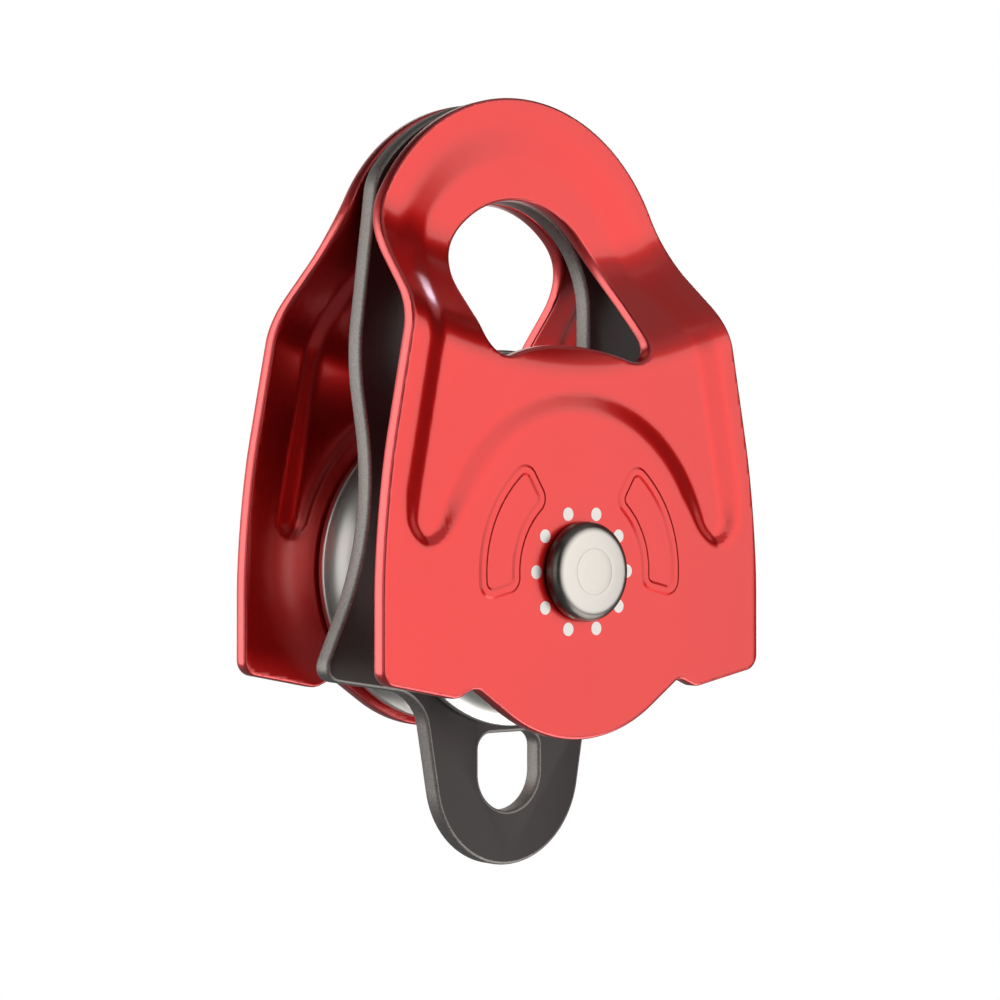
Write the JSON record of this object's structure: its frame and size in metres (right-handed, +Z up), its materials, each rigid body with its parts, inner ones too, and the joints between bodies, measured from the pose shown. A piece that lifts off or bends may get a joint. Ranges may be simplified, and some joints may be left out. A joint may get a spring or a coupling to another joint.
{
  "type": "rope pulley",
  "caption": "Rope pulley with swinging pressed side plates, sheaves on ball bearings side by side, and a centre plate with a becket eye.",
  "frame": {"origin": "crown of the carabiner hole in the centre plate, at the middle of the plate's thickness, where the pulley hangs", "axes": "+Z up, from the becket to the carabiner hole; +Y along the axle from the front plate to the rear plate; +X to the right across the plates as seen from the front"},
  "size_m": [0.0906, 0.0528, 0.1444],
  "materials": {
    "red_anodised": "red anodised, satin",
    "black_anodised": "black anodised, matt",
    "machined_aluminium": "turned, satin",
    "steel": "turned, polished",
    "bronze": "plain",
    "seal_rubber": "matt"
  },
  "bodies": {
    "centre": {"centre_plate": "black_anodised", "axle": "steel", "front_axle_head": "steel", "front_plate_bush": "bronze", "front_inner_spacer": "steel", "front_outer_spacer": "steel", "front_bearing_inner_race": "steel", "rear_axle_head": "steel", "rear_plate_bush": "bronze", "rear_inner_spacer": "steel", "rear_outer_spacer": "steel", "rear_bearing_inner_race": "steel"},
    "front_plate": {"front_side_plate": "red_anodised"},
    "front_wheel": {"front_sheave": "machined_aluminium", "front_bearing_outer_race": "steel", "front_bearing_inner_seal": "seal_rubber", "front_bearing_outer_seal": "seal_rubber"},
    "front_balls": {"front_bearing_cage": "bronze", "front_ball_1": "steel", "front_ball_2": "steel", "front_ball_3": "steel", "front_ball_4": "steel", "front_ball_5": "steel", "front_ball_6": "steel", "front_ball_7": "steel", "front_ball_8": "steel"},
    "rear_plate": {"rear_side_plate": "red_anodised"},
    "rear_wheel": {"rear_sheave": "machined_aluminium", "rear_bearing_outer_race": "steel", "rear_bearing_inner_seal": "seal_rubber", "rear_bearing_outer_seal": "seal_rubber"},
    "rear_balls": {"rear_bearing_cage": "bronze", "rear_ball_1": "steel", "rear_ball_2": "steel", "rear_ball_3": "steel", "rear_ball_4": "steel", "rear_ball_5": "steel", "rear_ball_6": "steel", "rear_ball_7": "steel", "rear_ball_8": "steel"}
  },
  "joints": [
    {"name": "front_plate_swing", "type": "hinge", "parent": "centre", "child": "front_plate", "pos_m": [0, -0.0214, -0.0697], "axis": [0, 1, 0], "continuous": true},
    {"name": "rear_plate_swing", "type": "hinge", "parent": "centre", "child": "rear_plate", "pos_m": [0, 0.0214, -0.0697], "axis": [0, 1, 0], "continuous": true},
    {"name": "front_sheave_spin", "type": "hinge", "parent": "centre", "child": "front_wheel", "pos_m": [0, -0.0109, -0.0697], "axis": [0, 1, 0], "continuous": true},
    {"name": "rear_sheave_spin", "type": "hinge", "parent": "centre", "child": "rear_wheel", "pos_m": [0, 0.0109, -0.0697], "axis": [0, 1, 0], "continuous": true},
    {"name": "front_ball_roll", "type": "hinge", "parent": "centre", "child": "front_balls", "pos_m": [0, -0.0109, -0.0697], "axis": [0, 1, 0], "continuous": true},
    {"name": "rear_ball_roll", "type": "hinge", "parent": "centre", "child": "rear_balls", "pos_m": [0, 0.0109, -0.0697], "axis": [0, 1, 0], "continuous": true}
  ],
  "couplings": [
    {"joint": "front_ball_roll", "follows": "front_sheave_spin", "ratio": 0.619},
    {"joint": "rear_ball_roll", "follows": "rear_sheave_spin", "ratio": 0.619}
  ]
}
